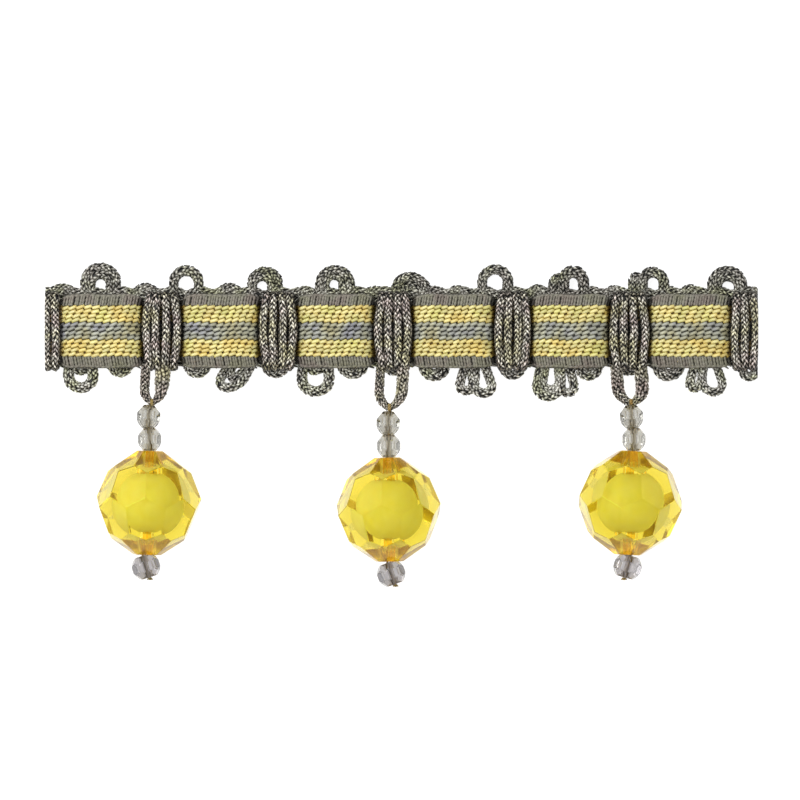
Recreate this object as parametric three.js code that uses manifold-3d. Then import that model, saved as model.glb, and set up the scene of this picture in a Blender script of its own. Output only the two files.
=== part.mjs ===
// A cut length of beaded trimming, lying face up on a table. A striped ribbon is wound at even distances
// with bars of knitted cord, the cord stands out in loops along both edges, and every second bar carries
// a drop of clear and amber beads on a thread.

import * as THREE from 'three';
import { mergeVertices } from 'three/addons/utils/BufferGeometryUtils.js';
import Module from 'manifold-3d';

const wasm = await Module();
wasm.setup();

// Driving sizes in millimetres. X runs along the trim from the ribbon's middle, Y across it with +Y
// towards the tall loops and 0 on the ribbon's centre line, and Z up from the table.
const TRIM_LENGTH = 128.4;
const GAP = 0.3;

const CORD = { radius: 0.86, sides: 6, step: 1.6 };
const LOOP_CORD = { radius: 0.82, sides: 5, step: 1.5, clearance: 0.12 };
const DROP_CORD = { radius: CORD.radius, sides: 6, step: 0.95 };
const LEAST_STEPS = 5;
const COURSE = { root: 5.2, inner: 4, outer: { top: 7.5, bottom: 6.4 }, height: 1.7 };
const RIBBON = {
  width: 13.4,
  waist: 10.2,
  thickness: 1,
  low: COURSE.height + GAP,
  rise: 1.9,
  edgeDrop: 0.5,
  fromBar: [-0.1, 0.3, 0.7, 1.7, 3.6],
  fullWidth: 0.7,
  cells: { panel: 2, across: 4 },
};
const BAR = { wrap: 1.33, crown: 0.5, shoulder: 0.75, pinch: 0.74 };

const AMBER_BEAD = {
  length: 18.7,
  bore: 1.27,
  boreSides: 12,
  height: 8.8,
  rows: [
    { latitude: 54, radius: 8.8, count: 8, offset: 0.5 },
    { latitude: 21, radius: 8.35, count: 8, offset: 0 },
    { latitude: -21, radius: 8.35, count: 8, offset: 0.5 },
    { latitude: -54, radius: 8.8, count: 8, offset: 0 },
  ],
};
const CORE = { radius: 4.3, room: 0.42, bore: 0.8, boreSides: 8, sides: 12, rings: 8 };
const CLEAR_BEAD = {
  length: 3.6,
  bore: 0.72,
  boreSides: 8,
  rows: [
    { latitude: 46, radius: 1.95, count: 7, offset: 0.5 },
    { latitude: 0, radius: 1.95, count: 7, offset: 0 },
    { latitude: -46, radius: 1.95, count: 7, offset: 0.5 },
  ],
};
const THREAD = { radius: 0.2, sides: 4, step: 1.8 };
const EYE = { radius: 1.52, sides: 16 };
const KNOT = { radius: 0.42, sides: 6 };

// Where the cord bars cross the ribbon, with the place of each strand from the bar's middle. A drop loop
// hangs from the bar's lower end and rises to its top: the other columns are those of the edge loops.
const BARS = [
  { x: -63, strands: [-0.95, 0.8] },
  {
    x: -43.1,
    strands: [-2.85, -1.15, 0.75, 2.75],
    loop: { x: -44.35, span: 3, reach: 5.35, lean: -0.6, draw: -0.15, top: 7 },
  },
  { x: -22.2, strands: [-2.7, -0.95, 0.9, 2.65] },
  {
    x: -1.5,
    strands: [-2.75, -0.95, 0.95, 2.7],
    loop: { x: -1.4, span: 3, reach: 6.5, lean: -0.8, draw: -0.35, top: 7 },
  },
  { x: 20, strands: [-2.6, -0.85, 0.95, 2.6] },
  {
    x: 41,
    strands: [-2.85, -1.05, 0.85, 2.85],
    loop: { x: 41, span: 3.2, reach: 5.5, lean: 0.1, draw: -0.45, top: 7 },
  },
  { x: 61.4, strands: [-1.4, 0.35, 2.35] },
];

// The loops that stand out of the cord courses: the middle of the roots, the spread of the legs, how far
// the tip stands out of the course, its lean along the trim, how much the legs draw in at the roots, and
// how far the tip lifts off the table where one loop lies over another.
const TOP_LOOPS = [
  { x: -54.3, span: 5.7, reach: 6.3, lean: 0.1, draw: 0.1, lift: 0 },
  { x: -54.3, span: 3.6, reach: 5, lean: 0.1, draw: 0.1, lift: 0.6 },
  { x: -38.8, span: 4.3, reach: 5.7, lean: 0, draw: 0.1, lift: 0 },
  { x: -24.65, span: 4.8, reach: 5.3, lean: 0.1, draw: 0.1, lift: 0 },
  { x: -25.2, span: 3.5, reach: 4.5, lean: 0.1, draw: 0.1, lift: 0.7 },
  { x: -12, span: 5.5, reach: 5.85, lean: 0, draw: 0, lift: 0.6 },
  { x: -12.15, span: 3.3, reach: 4.9, lean: 0, draw: 0, lift: 0 },
  { x: 2, span: 5.8, reach: 4.6, lean: -0.5, draw: 0, lift: 0.7 },
  { x: 1.8, span: 2.8, reach: 3, lean: 0, draw: 0, lift: 0 },
  { x: 16.8, span: 4.8, reach: 5.9, lean: 0.1, draw: 0.2, lift: 0 },
  { x: 31.1, span: 3.6, reach: 5.5, lean: -0.2, draw: 0, lift: 0.8 },
  { x: 28.2, span: 2, reach: 4.4, lean: 0.2, draw: 0, lift: 0 },
  { x: 45.4, span: 3.9, reach: 5.4, lean: -0.1, draw: 0, lift: 0.7 },
  { x: 42.6, span: 1.5, reach: 4.6, lean: -0.2, draw: 0, lift: 0 },
  { x: 58.3, span: 4.8, reach: 5.6, lean: 0, draw: 0, lift: 0 },
  { x: 60.4, span: 3.6, reach: 5.6, lean: -0.4, draw: -0.1, lift: 0.9 },
];
const TOP_BUMPS = [
  { x: -61.1, span: 5.2, reach: 2.5 },
  { x: -46.1, span: 3.9, reach: 2.6 },
  { x: -31, span: 3.8, reach: 2.6 },
  { x: -17.3, span: 2, reach: 2.1 },
  { x: -4.7, span: 3.9, reach: 2.1 },
  { x: 10.1, span: 2.8, reach: 2.2 },
  { x: 24.6, span: 2.6, reach: 2.4 },
  { x: 38.3, span: 2.4, reach: 2.2 },
  { x: 52, span: 2, reach: 2.4 },
  { x: 63.4, span: 2, reach: 1.9 },
];
const BOTTOM_LOOPS = [
  { x: -57.8, span: 4.6, reach: 5, lean: 0, draw: 0.2, lift: 0 },
  { x: -29, span: 4.9, reach: 5.3, lean: -2, draw: 0, lift: 0.5 },
  { x: -29, span: 2.6, reach: 3.9, lean: -1.5, draw: 0, lift: 0 },
  { x: -15.5, span: 5.1, reach: 5.7, lean: 0, draw: 0.2, lift: 0 },
  { x: 11.3, span: 2.3, reach: 5.7, lean: -0.4, draw: 0.1, lift: 0 },
  { x: 14.6, span: 3.8, reach: 6, lean: 0, draw: 0.1, lift: 1.2 },
  { x: 26.4, span: 4.5, reach: 6.6, lean: 0, draw: 0.1, lift: 1.2 },
  { x: 26.9, span: 3.1, reach: 5.5, lean: 0, draw: 0.1, lift: 0 },
  { x: 29.9, span: 2.5, reach: 5.9, lean: 0.3, draw: 0, lift: 0 },
  { x: 53, span: 2.4, reach: 5, lean: -0.2, draw: 0, lift: 0 },
  { x: 56.2, span: 3.9, reach: 5.9, lean: 0, draw: 0.1, lift: 1.2 },
];
const BOTTOM_BUMPS = [
  { x: -57.8, span: 2.2, reach: 1.9 },
  { x: -50.7, span: 3.3, reach: 2.2 },
  { x: -36.8, span: 3.3, reach: 2.4 },
  { x: -22.7, span: 3.5, reach: 2.4 },
  { x: -15.5, span: 2.6, reach: 1.9 },
  { x: -8.8, span: 4.1, reach: 2.6 },
  { x: -1.4, span: 2.2, reach: 2 },
  { x: 5.9, span: 3.9, reach: 3 },
  { x: 20, span: 3.2, reach: 2.7 },
  { x: 33.7, span: 3.2, reach: 2.9 },
  { x: 41, span: 2.4, reach: 2 },
  { x: 48.1, span: 4.1, reach: 3 },
  { x: 62.7, span: 2.4, reach: 3 },
];

// The bead drops, from the loop's tip down: where each bead's middle lies, and how far the amber bead and
// the stop bead are turned, in degrees.
const DROPS = [
  {
    upper: { x: -45.45, y: -15.4, z: 7.9 },
    lower: { x: -45.3, y: -19.4, z: 8.6 },
    amber: { x: -45.5, y: -30.9, turn: 20 },
    stop: { x: -45.9, y: -42.45, z: 8.5, turn: 18 },
  },
  {
    upper: { x: -2.4, y: -16.56, z: 7.9 },
    lower: { x: -2.35, y: -20.55, z: 8.6 },
    amber: { x: -2.3, y: -32.1, turn: 15 },
    stop: { x: -1.95, y: -43.65, z: 8.5, turn: 20 },
  },
  {
    upper: { x: 41.4, y: -15.55, z: 7.9 },
    lower: { x: 41.6, y: -19.48, z: 8.6 },
    amber: { x: 41.1, y: -30.95, turn: -11 },
    stop: { x: 40.65, y: -42.5, z: 8.5, turn: -16 },
  },
];

const FINISHES = {
  ribbon: { color: 0xa89a62, roughness: 0.75, metalness: 0 },
  cord: { color: 0x807869, roughness: 0.85, metalness: 0 },
  amber: { color: 0xe0c83c, roughness: 0.08, metalness: 0 },
  core: { color: 0xf2e7a0, roughness: 0.4, metalness: 0 },
  clear: { color: 0xdfe2e4, roughness: 0.06, metalness: 0 },
  thread: { color: 0x9c7b3c, roughness: 0.7, metalness: 0 },
};

const { clamp, lerp, smoothstep, degToRad } = THREE.MathUtils;

// A curve whose points come from a formula of t from 0 to 1.
class FormulaCurve extends THREE.Curve {
  constructor(place) {
    super();
    this.place = place;
  }

  getPoint(t, target = new THREE.Vector3()) {
    return target.set(...this.place(t));
  }
}

function solidOf(geometry) {
  geometry.deleteAttribute('normal');
  geometry.deleteAttribute('uv');
  const merged = mergeVertices(geometry);
  const mesh = new wasm.Mesh({
    numProp: 3,
    vertProperties: merged.attributes.position.array,
    triVerts: Uint32Array.from(merged.index.array),
  });
  return new wasm.Manifold(mesh);
}

function geometryOf(solid) {
  const mesh = solid.getMesh();
  const geometry = new THREE.BufferGeometry();
  geometry.setAttribute('position', new THREE.BufferAttribute(mesh.vertProperties, 3));
  geometry.setIndex(new THREE.BufferAttribute(mesh.triVerts, 1));
  geometry.computeVertexNormals();
  return geometry;
}

function joined(solids) {
  return solids.reduce((whole, piece) => whole.add(piece));
}

function namedMesh(name, solid, finish) {
  const mesh = new THREE.Mesh(geometryOf(solid), new THREE.MeshStandardMaterial(FINISHES[finish]));
  mesh.name = name;
  return mesh;
}

// A round tube of a few flat sides along a curve, closed at both ends.
function tube(curve, { radius, sides, step }) {
  const corners = Array.from({ length: sides }, (_, i) => {
    const angle = (2 * Math.PI * (i + 0.5)) / sides;
    return new THREE.Vector2(radius * Math.cos(angle), radius * Math.sin(angle));
  });
  const steps = Math.max(LEAST_STEPS, Math.round(curve.getLength() / step));
  const shape = new THREE.Shape(corners);
  return solidOf(new THREE.ExtrudeGeometry(shape, { steps, extrudePath: curve, bevelEnabled: false }));
}

function rod(radius, length, sides) {
  return solidOf(new THREE.CylinderGeometry(radius, radius, length, sides));
}

// Both ends of the trim are cut square through everything that reaches them.
function cutEnds(solid) {
  return solid
    .trimByPlane([1, 0, 0], -TRIM_LENGTH / 2)
    .trimByPlane([-1, 0, 0], -TRIM_LENGTH / 2);
}

// Where a bar's outer strands end along the trim.
function barSides({ x, strands }) {
  return [x + strands[0] - CORD.radius, x + strands.at(-1) + CORD.radius];
}

// The ribbon is narrow and low under the bars, and between them it widens and rises in a round arch. Its
// cross lines stand beside the bars and at even distances over the panels.
function ribbonLines() {
  const ends = [-TRIM_LENGTH / 2, TRIM_LENGTH / 2];
  const beside = BARS.map(barSides).flatMap(([left, right]) =>
    RIBBON.fromBar.flatMap((away) => [left - away, right + away]),
  );
  const full = RIBBON.fromBar.at(-1);
  const inside = BARS.slice(1).flatMap((bar, i) => {
    const [from, to] = [barSides(BARS[i])[1] + full, barSides(bar)[0] - full];
    const shares = Array.from({ length: RIBBON.cells.panel - 1 }, (_, k) => (k + 1) / RIBBON.cells.panel);
    return shares.map((share) => lerp(from, to, share));
  });
  const within = [...beside, ...inside].filter((x) => Math.abs(x) < ends[1]);
  return [...ends, ...within].sort((left, right) => left - right);
}

function distanceFromBar(x) {
  return Math.min(...BARS.map(barSides).map(([left, right]) => Math.max(left - x, x - right)));
}

function ribbonFullness(x) {
  return smoothstep(distanceFromBar(x), RIBBON.fromBar[0], RIBBON.fullWidth);
}

function ribbonArch(x) {
  const [start, end] = [RIBBON.fromBar[0], RIBBON.fromBar.at(-1)];
  const left = clamp((end - distanceFromBar(x)) / (end - start), 0, 1);
  return Math.sqrt(1 - left ** 2);
}

function ribbon() {
  const { width, waist, thickness, low, rise, edgeDrop, cells } = RIBBON;
  const lines = ribbonLines();
  const along = lines.length - 1;
  const geometry = new THREE.BoxGeometry(along, 2, thickness, along, cells.across, 1);
  const points = geometry.attributes.position;
  for (let i = 0; i < points.count; i += 1) {
    const x = lines[Math.round(points.getX(i) + along / 2)];
    const across = points.getY(i);
    const lift = ribbonArch(x) * (rise - edgeDrop * across ** 4);
    points.setXYZ(
      i,
      x,
      (across * lerp(waist, width, ribbonFullness(x))) / 2,
      points.getZ(i) + low + thickness / 2 + lift,
    );
  }
  return solidOf(geometry);
}

// A strand runs over the ribbon from edge to edge and turns down round both edges onto the cord courses.
function strandCurve(bar, offset) {
  const edge = RIBBON.waist / 2;
  const end = edge + BAR.wrap;
  const face = RIBBON.low + RIBBON.thickness;
  const corner = BAR.wrap * Math.SQRT1_2;
  const half = [
    [end, RIBBON.low],
    [end, face],
    [edge + corner, face + corner],
    [edge, face + BAR.wrap],
    [edge / 2, face + BAR.wrap + BAR.crown * BAR.shoulder],
  ];
  const middle = [[0, face + BAR.wrap + BAR.crown]];
  const mirrored = half.map(([y, z]) => [-y, z]).reverse();
  const points = [...half, ...middle, ...mirrored].map(([y, z]) => {
    const spread = lerp(BAR.pinch, 1, Math.cos((Math.PI / 2) * (y / end)));
    return new THREE.Vector3(bar.x + offset * spread, y, z);
  });
  return new THREE.CatmullRomCurve3(points);
}

// A loop in plan: two legs that draw in or splay at the roots and a round tip, or the round tip alone for
// a low bump. It gives the place along the trim, the way out from the root and that way's share.
function loopPlan({ x, span, reach, lean = 0, draw = 0 }) {
  const half = span / 2;
  const tip = Math.min(half, reach);
  const leg = reach - tip;
  const turn = (Math.PI * (half + tip)) / 2;
  const whole = 2 * leg + turn;
  return (t) => {
    const run = t * whole;
    const angle = (Math.PI * clamp(run - leg, 0, turn)) / turn;
    const up = Math.min(run, leg, whole - run) + tip * Math.sin(angle);
    const out = up / reach;
    const spread = half * (1 - draw * (1 - out) ** 2);
    return { along: x + lean * out - spread * Math.cos(angle), up, out };
  };
}

// A drop loop leaves the bar's lower end and rises to its tip, where the thread holds it.
function dropLoopCurve(loop) {
  const plan = loopPlan(loop);
  const rootY = -(RIBBON.waist / 2 + BAR.wrap);
  const rootZ = RIBBON.low + DROP_CORD.radius;
  return new FormulaCurve((t) => {
    const { along, up, out } = plan(t);
    return [along, rootY - up, lerp(rootZ, loop.top, out)];
  });
}

function cordBar(bar) {
  const cords = bar.strands.map((offset) => tube(strandCurve(bar, offset), CORD));
  if (bar.loop) {
    cords.push(tube(dropLoopCurve(bar.loop), DROP_CORD));
  }
  return cutEnds(joined(cords));
}

// An edge loop lies on the table; side is 1 on the top edge and -1 on the bottom.
function edgeLoopCurve(side, row) {
  const { lift = 0 } = row;
  const plan = loopPlan(row);
  const floor = LOOP_CORD.radius * Math.cos(Math.PI / LOOP_CORD.sides) + LOOP_CORD.clearance;
  return new FormulaCurve((t) => {
    const { along, up, out } = plan(t);
    return [along, side * (COURSE.root + up), floor + lift * out ** 3];
  });
}

function loopedCourse(side, outer, rows) {
  const course = new THREE.BoxGeometry(TRIM_LENGTH, outer - COURSE.inner, COURSE.height);
  course.translate(0, (side * (outer + COURSE.inner)) / 2, COURSE.height / 2);
  const loops = rows.map((row) => tube(edgeLoopCurve(side, row), LOOP_CORD));
  return cutEnds(joined([solidOf(course), ...loops]));
}

// A faceted bead along Y: a block cut to a flat facet for each place in its rows, flat ends and a bore.
function facetedBead({ length, bore, boreSides, rows }, turn = 0) {
  let bead = solidOf(new THREE.BoxGeometry(2 * length, 2 * length, 2 * length));
  for (const { latitude, radius, count, offset } of rows) {
    for (let i = 0; i < count; i += 1) {
      const facing = degToRad((360 * (i + offset)) / count + turn);
      const up = degToRad(latitude);
      const inward = new THREE.Vector3(
        -Math.cos(up) * Math.sin(facing),
        -Math.sin(up),
        -Math.cos(up) * Math.cos(facing),
      );
      bead = bead.trimByPlane(inward.toArray(), -radius);
    }
  }
  for (const end of [1, -1]) {
    bead = bead.trimByPlane([0, -end, 0], -length / 2);
  }
  return bead.subtract(rod(bore, 2 * length, boreSides));
}

function coreBall(radius) {
  return solidOf(new THREE.SphereGeometry(radius, CORE.sides, CORE.rings));
}

// The amber bead is hollow round its core and has a small flat spot where it lies on the table.
function amberBead(turn) {
  return facetedBead(AMBER_BEAD, turn)
    .subtract(coreBall(CORE.radius + CORE.room))
    .trimByPlane([0, 0, 1], -AMBER_BEAD.height);
}

function core() {
  return coreBall(CORE.radius).subtract(rod(CORE.bore, AMBER_BEAD.length, CORE.boreSides));
}

// The line of a drop's thread below its eye, through every bead's bore to the knot.
function threadRun(eyeEnd, drop) {
  const { upper, lower, amber, stop, down, stopLie } = drop;
  const reach = AMBER_BEAD.length / 2;
  const stopReach = CLEAR_BEAD.length / 2;
  const points = [
    eyeEnd,
    upper,
    lower,
    amber.clone().addScaledVector(down, -reach),
    amber.clone().addScaledVector(down, reach / 2),
    stop.clone().addScaledVector(stopLie, -stopReach),
    stop.clone().addScaledVector(stopLie, stopReach + GAP + KNOT.radius),
  ];
  return new THREE.CatmullRomCurve3(points);
}

// The thread holds the loop's tip in a small eye, runs through the beads and ends in a knot.
function thread(eyeFrame, run) {
  const eye = new THREE.TorusGeometry(EYE.radius, THREAD.radius, THREAD.sides, EYE.sides);
  const end = run.getPoint(1);
  const knot = new THREE.SphereGeometry(KNOT.radius, KNOT.sides, KNOT.sides).translate(end.x, end.y, end.z);
  return joined([solidOf(eye.applyMatrix4(eyeFrame)), tube(run, THREAD), solidOf(knot)]);
}

function placed(mesh, place, direction) {
  mesh.position.copy(place);
  mesh.quaternion.setFromUnitVectors(new THREE.Vector3(0, -1, 0), direction);
  return mesh;
}

function beadDrop(name, row, loop) {
  const place = ({ x, y, z = AMBER_BEAD.height }) => new THREE.Vector3(x, y, z);
  const [upper, lower, amber, stop] = [row.upper, row.lower, row.amber, row.stop].map(place);
  const down = stop.clone().sub(lower).setZ(0).normalize();
  const tilt = degToRad(row.stop.turn);
  const stopLie = new THREE.Vector3(Math.sin(tilt), -Math.cos(tilt), 0);

  const tip = dropLoopCurve(loop).getPoint(0.5);
  const along = upper.clone().sub(tip).normalize();
  const across = new THREE.Vector3(1, 0, 0).cross(along).normalize();
  const eyeFrame = new THREE.Matrix4()
    .makeBasis(along, across, along.clone().cross(across))
    .setPosition(tip);
  const eyeEnd = tip.clone().addScaledVector(along, EYE.radius);
  const run = threadRun(eyeEnd, { upper, lower, amber, stop, down, stopLie });
  const spans = run.points.length - 1;

  const clear = (piece) => namedMesh(`${name}_bead_${piece}`, facetedBead(CLEAR_BEAD), 'clear');
  const amberMesh = namedMesh(`${name}_bead_amber`, amberBead(row.amber.turn), 'amber');
  return [
    placed(clear('upper'), upper, run.getTangent(1 / spans)),
    placed(clear('lower'), lower, run.getTangent(2 / spans)),
    placed(amberMesh, amber, down),
    placed(namedMesh(`${name}_core`, core(), 'core'), amber, down),
    placed(clear('stop'), stop, stopLie),
    namedMesh(`${name}_thread`, thread(eyeFrame, run), 'thread'),
  ];
}

const trim = new THREE.Group();
trim.add(namedMesh('ribbon', ribbon(), 'ribbon'));
BARS.forEach((bar, i) => trim.add(namedMesh(`bar_${i + 1}`, cordBar(bar), 'cord')));
const topLoops = loopedCourse(1, COURSE.outer.top, [...TOP_LOOPS, ...TOP_BUMPS]);
const bottomLoops = loopedCourse(-1, COURSE.outer.bottom, [...BOTTOM_LOOPS, ...BOTTOM_BUMPS]);
trim.add(namedMesh('loops_top', topLoops, 'cord'));
trim.add(namedMesh('loops_bottom', bottomLoops, 'cord'));

const dropBars = BARS.filter((bar) => bar.loop);
DROPS.forEach((row, i) => trim.add(...beadDrop(`drop_${i + 1}`, row, dropBars[i].loop)));

// The origin is under the middle of the whole part.
const middle = new THREE.Box3().setFromObject(trim).getCenter(new THREE.Vector3());
trim.position.set(-middle.x, -middle.y, 0);

export default trim;
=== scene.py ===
"""A cut length of beaded trimming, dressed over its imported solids: a striped woven ribbon wound with bars of
knitted cord, knitted loops along both edges, and drops of clear and amber beads on twisted threads."""

import itertools
import math

import bmesh
import bpy
import numpy as np
from mathutils import Color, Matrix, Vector


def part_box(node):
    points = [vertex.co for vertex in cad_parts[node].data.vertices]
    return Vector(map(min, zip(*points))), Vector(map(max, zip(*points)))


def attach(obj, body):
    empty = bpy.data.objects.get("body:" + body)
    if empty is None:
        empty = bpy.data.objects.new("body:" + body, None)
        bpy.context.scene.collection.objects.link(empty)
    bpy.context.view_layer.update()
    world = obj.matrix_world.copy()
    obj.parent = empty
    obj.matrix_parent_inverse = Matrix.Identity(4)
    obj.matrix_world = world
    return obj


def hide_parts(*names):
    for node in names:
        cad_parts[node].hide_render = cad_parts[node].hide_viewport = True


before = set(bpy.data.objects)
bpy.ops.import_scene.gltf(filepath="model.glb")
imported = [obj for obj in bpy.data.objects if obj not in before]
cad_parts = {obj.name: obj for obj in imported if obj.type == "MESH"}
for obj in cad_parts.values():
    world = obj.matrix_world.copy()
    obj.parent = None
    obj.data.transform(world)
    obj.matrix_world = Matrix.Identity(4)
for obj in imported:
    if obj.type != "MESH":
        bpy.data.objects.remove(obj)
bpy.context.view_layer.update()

MM = 0.001
RIBBON_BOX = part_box("ribbon")
HEADING_Y = (RIBBON_BOX[0].y + RIBBON_BOX[1].y) / 2 / MM
SEED = 1927
chance = np.random.default_rng(SEED)

# Sizes in millimetres. X runs along the trim, Y is 0 on the ribbon's centre line and grows towards the tall
# loops, and Z is up from the table.
TRIM_HALF = 64.2
SIDES = {"top": 1, "bottom": -1}
CORD_RADIUS = 0.86
LOOP_RADIUS = 0.95
COURSE = {"y": 5.2, "half_width": 1.2, "height": 1.7, "stitch": 3.0}
SHOWN_COURSE = {"y": 7.0, "radius": 0.95, "stitch": 1.0, "wave": 0.25, "wave_run": 4.7, "points": 240}
SHOWN_COURSE |= {"dip": 0.3, "dip_half": 1.3}
RIBBON = {"half": 6.7, "waist": 5.1, "low": 2.0, "thickness": 1.0, "rise": 1.9, "edge_drop": 0.5}
RIBBON |= {"dive": -0.1, "full": 0.7, "corner": 2.2, "shoulder": 3.6}
BAR = {"wrap": 1.33, "crown": 0.5, "shoulder": 0.75, "pinch": 0.74, "foot": 0.9, "wobble": 0.06, "cord": 0.8}

BARS = [
    {"x": -63, "strands": [-0.95, 0.8]},
    {"x": -43.1, "strands": [-2.85, -1.15, 0.75, 2.75]},
    {"x": -22.2, "strands": [-2.7, -0.95, 0.9, 2.65]},
    {"x": -1.5, "strands": [-2.75, -0.95, 0.95, 2.7]},
    {"x": 20, "strands": [-2.6, -0.85, 0.95, 2.6]},
    {"x": 41, "strands": [-2.85, -1.05, 0.85, 2.85]},
    {"x": 61.4, "strands": [-1.4, 0.35, 2.35]},
]
BAR_LEFT = np.array([bar["x"] + min(bar["strands"]) - CORD_RADIUS for bar in BARS])
BAR_RIGHT = np.array([bar["x"] + max(bar["strands"]) + CORD_RADIUS for bar in BARS])

PLAIN_LOOP = {"x": 0, "span": 0, "reach": 0, "lean": 0, "draw": 0, "lift": 0, "radius": LOOP_RADIUS}


def loop_rows(*rows):
    """Each row of a loop table by its column names. The last columns may be left out."""
    return [PLAIN_LOOP | dict(zip(PLAIN_LOOP, row)) for row in rows]


TOP_LOOPS = loop_rows(
    (-54.3, 5.7, 6.3, 0.1, 0.1, 0, 0.93),
    (-54.3, 3.6, 5, 0.1, 0.1, 0.6, 0.93),
    (-38.8, 4.6, 5.7, 0, 0.1, 0, (0.8, 1.1, 0.8)),
    (-24.65, 4.9, 5.6, 0.1, 0.1, 0, 0.88),
    (-25.2, 3.5, 4.6, 0.1, 0.1, 0.7, 0.88),
    (-12, 5.5, 5.85, 0, 0, 0.6, 0.93),
    (-12.15, 3.3, 4.9, 0, 0, 0, 0.93),
    (2, 5.8, 4.6, -0.5, 0, 0.7),
    (1.8, 2.8, 3),
    (16.8, 4.8, 5.9, 0.1, 0.2, 0, (0.9, 1, 1.1)),
    (31.1, 3.6, 5.5, -0.2, 0, 0.8, (1, 1.25, 1)),
    (28.2, 2, 4.4, 0.2),
    (45.4, 3.9, 5.4, -0.1, 0, 0.7, 1.05),
    (42.6, 1.5, 4.6, -0.2),
    (58.7, 5.6, 5.75, 0, 0.1, 0, 0.93),
    (58.8, 3.9, 4.6, 0, 0.1, 0.6, 0.9),
)
TOP_BUMPS = loop_rows(
    (-61.1, 5.2, 2.5),
    (-46.1, 3.9, 2.6),
    (-31, 3.8, 2.6),
    (-17.3, 2, 2.1),
    (-4.7, 3.9, 2.1),
    (10.1, 2.8, 2.2),
    (24.6, 2.6, 2.4),
    (38.3, 2.4, 2.2),
    (52, 2, 2.4),
    (63.4, 2, 1.9),
)
BOTTOM_LOOPS = loop_rows(
    (-57.8, 4.6, 5, 0, 0.2, 0, 1.08),
    (-28.6, 4.4, 5, -2.8, 0.1, 0.5, 0.93),
    (-28.5, 2.2, 3.2, -2, 0, 0, 0.8),
    (-15.5, 5.1, 5.7, 0, 0.2, 0, 1.05),
    (12.6, 2.7, 5.5, -1, 0.5, 0, 0.93),
    (13.6, 3.5, 6, 1.3, 0.5, 1.2, 0.93),
    (27, 4.5, 6.6, -0.6, 0.3, 1.2, 0.93),
    (27.3, 3, 5.4, -0.5, 0.2, 0, 0.9),
    (29.1, 2.6, 5.9, 0.9, 0.4, 0, 0.88),
    (53.8, 2, 5, -1, 0.4, 0, 0.93),
    (55.3, 3.7, 5.8, 1, 0.5, 1.2, 0.85),
)
BOTTOM_BUMPS = loop_rows(
    (-57.8, 2.2, 1.9),
    (-50.7, 3.3, 2.2),
    (-36.8, 3.3, 2.4),
    (-22.7, 3.5, 2.4),
    (-15.5, 2.6, 1.9),
    (-8.8, 3.8, 2.4, 0, 0, 0, 1.15),
    (-1.4, 2.2, 2),
    (5.9, 3.6, 2.75, 0, 0, 0, 1.2),
    (20, 3.2, 2.7),
    (33.7, 3, 2.65, 0, 0, 0, 1.2),
    (41, 2.4, 2),
    (48.1, 3.8, 2.75, 0, 0, 0, 1.2),
    (62.7, 2.4, 3),
)

# Each drop: its bar, its long loop with the cord's radius at even shares of the way round, and its beads.
DROPS = [
    {
        "bar": 2,
        "loop": {"x": -44.45, "span": 3.1, "reach": 6.6, "lean": -0.4, "top": 7},
        "thick": (0.95, 0.95, 0.9, 0.5, 1.2, 1.5, 1.5),
        "upper": (-45.45, -15.45, 7.9),
        "lower": (-45.25, -19.5, 8.6),
        "amber": (-45.4, -30.9, 8.8),
        "amber_turn": 20,
        "stop": (-45.9, -42.35, 8.5),
        "stop_tilt": 18,
    },
    {
        "bar": 4,
        "loop": {"x": -1.7, "span": 4.1, "reach": 7.5, "lean": -0.45, "top": 7},
        "thick": (0.9, 0.9, 0.9, 0.55, 1.1, 1.2, 1.2),
        "upper": (-2.4, -16.6, 7.9),
        "lower": (-2.3, -20.68, 8.6),
        "amber": (-2.3, -32.1, 8.8),
        "amber_turn": 15,
        "stop": (-1.85, -43.6, 8.5),
        "stop_tilt": 20,
    },
    {
        "bar": 6,
        "loop": {"x": 40.9, "span": 4.4, "reach": 6.65, "lean": 0.4, "top": 7},
        "thick": (1.2, 1.25, 1.15, 0.55, 1.25, 1.35, 1.25),
        "upper": (41.35, -15.45, 7.9),
        "lower": (41.75, -19.5, 8.6),
        "amber": (41.1, -30.9, 8.8),
        "amber_turn": -11,
        "stop": (40.6, -42.35, 8.5),
        "stop_tilt": -16,
    },
]


# Finishes: a finish is a material that is wired up from expressions.


def dye(red, green, blue):
    """A shader's colour from its everyday 0 to 255 values."""
    everyday = Color([channel / 255 for channel in (red, green, blue)])
    return (*everyday.from_srgb_to_scene_linear(), 1)


WHITE = dye(255, 255, 255)
BLACK = dye(0, 0, 0)
# Near black for painted shade: the deepest places of the knitted cord and the ribbon right beside the bars.
PAINTED_SHADE_BLACK = dye(4, 3, 3)

# The colour ends of a Mix node go by number, because its plain ends have the same names.
MIX_ENDS = {"share": 0, "first": 6, "second": 7, "mixed": 2}


class Wire:
    """The end of a node in a finish, which takes part in arithmetic."""

    def __init__(self, finish, socket):
        self.finish, self.socket = finish, socket

    def sum(self, operation, first, second):
        return self.finish.node("ShaderNodeMath", {"operation": operation}, {0: first, 1: second})

    def __add__(self, other):
        return self.sum("ADD", self, other)

    def __radd__(self, other):
        return self.sum("ADD", other, self)

    def __sub__(self, other):
        return self.sum("SUBTRACT", self, other)

    def __rsub__(self, other):
        return self.sum("SUBTRACT", other, self)

    def __mul__(self, other):
        return self.sum("MULTIPLY", self, other)

    def __rmul__(self, other):
        return self.sum("MULTIPLY", other, self)


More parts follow.
